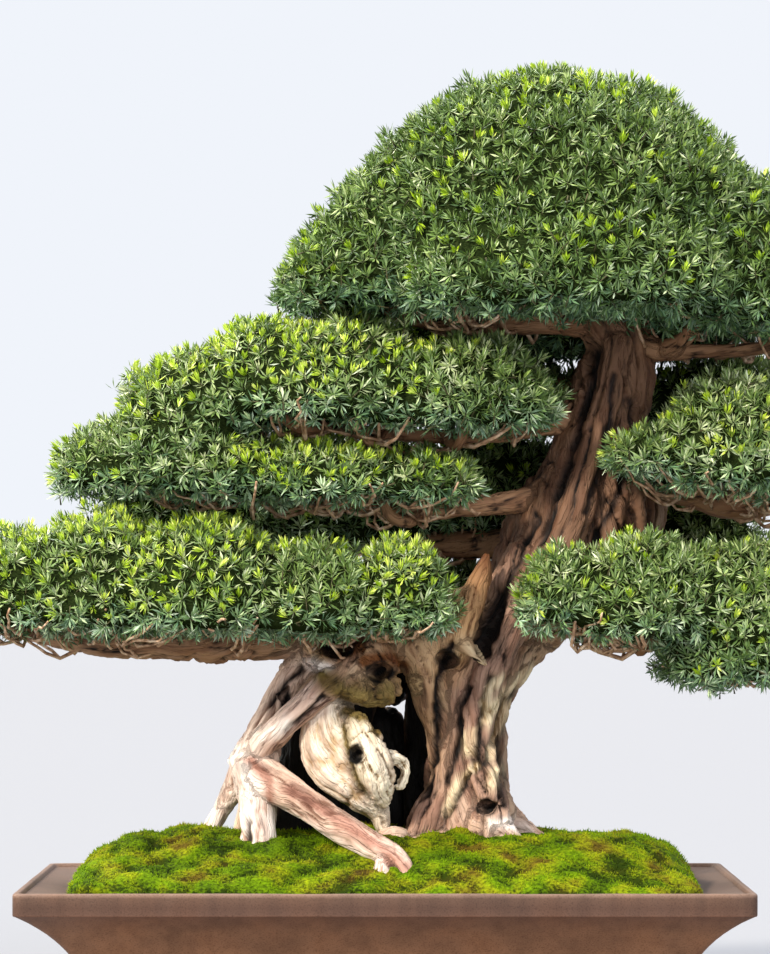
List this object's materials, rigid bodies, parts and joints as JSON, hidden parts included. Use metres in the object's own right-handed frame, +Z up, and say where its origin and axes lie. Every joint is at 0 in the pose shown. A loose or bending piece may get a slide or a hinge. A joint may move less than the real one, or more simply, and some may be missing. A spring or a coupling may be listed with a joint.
{
  "type": "bonsai tree",
  "caption": "Old needle-leaved bonsai with a hollow, partly dead trunk base, clipped foliage pads and a moss mound, in a shallow rectangular clay pot with a flared rim.",
  "frame": {"origin": "on the surface the pot stands on, under the middle of the pot and of the whole tree", "axes": "+Z up, +X to the right along the pot's length as seen from the front of the tree, -Y towards the viewer in front"},
  "size_m": [0.8426, 0.42, 0.8083],
  "materials": {
    "pot": "matte",
    "screen": "satin",
    "soil": "matte",
    "moss": "matte",
    "wood": "matte",
    "needles": "satin"
  },
  "bodies": {
    "root": {"pot": "pot", "drain_screen_left": "screen", "drain_screen_right": "screen", "soil": "soil", "moss": "moss", "tree_wood": "wood", "foliage_crown": "needles", "foliage_left_upper": "needles", "foliage_left_low": "needles", "foliage_right_middle": "needles", "foliage_right_low": "needles", "foliage_back_upper": "needles", "foliage_back_left": "needles", "foliage_back_low": "needles"}
  },
  "joints": []
}
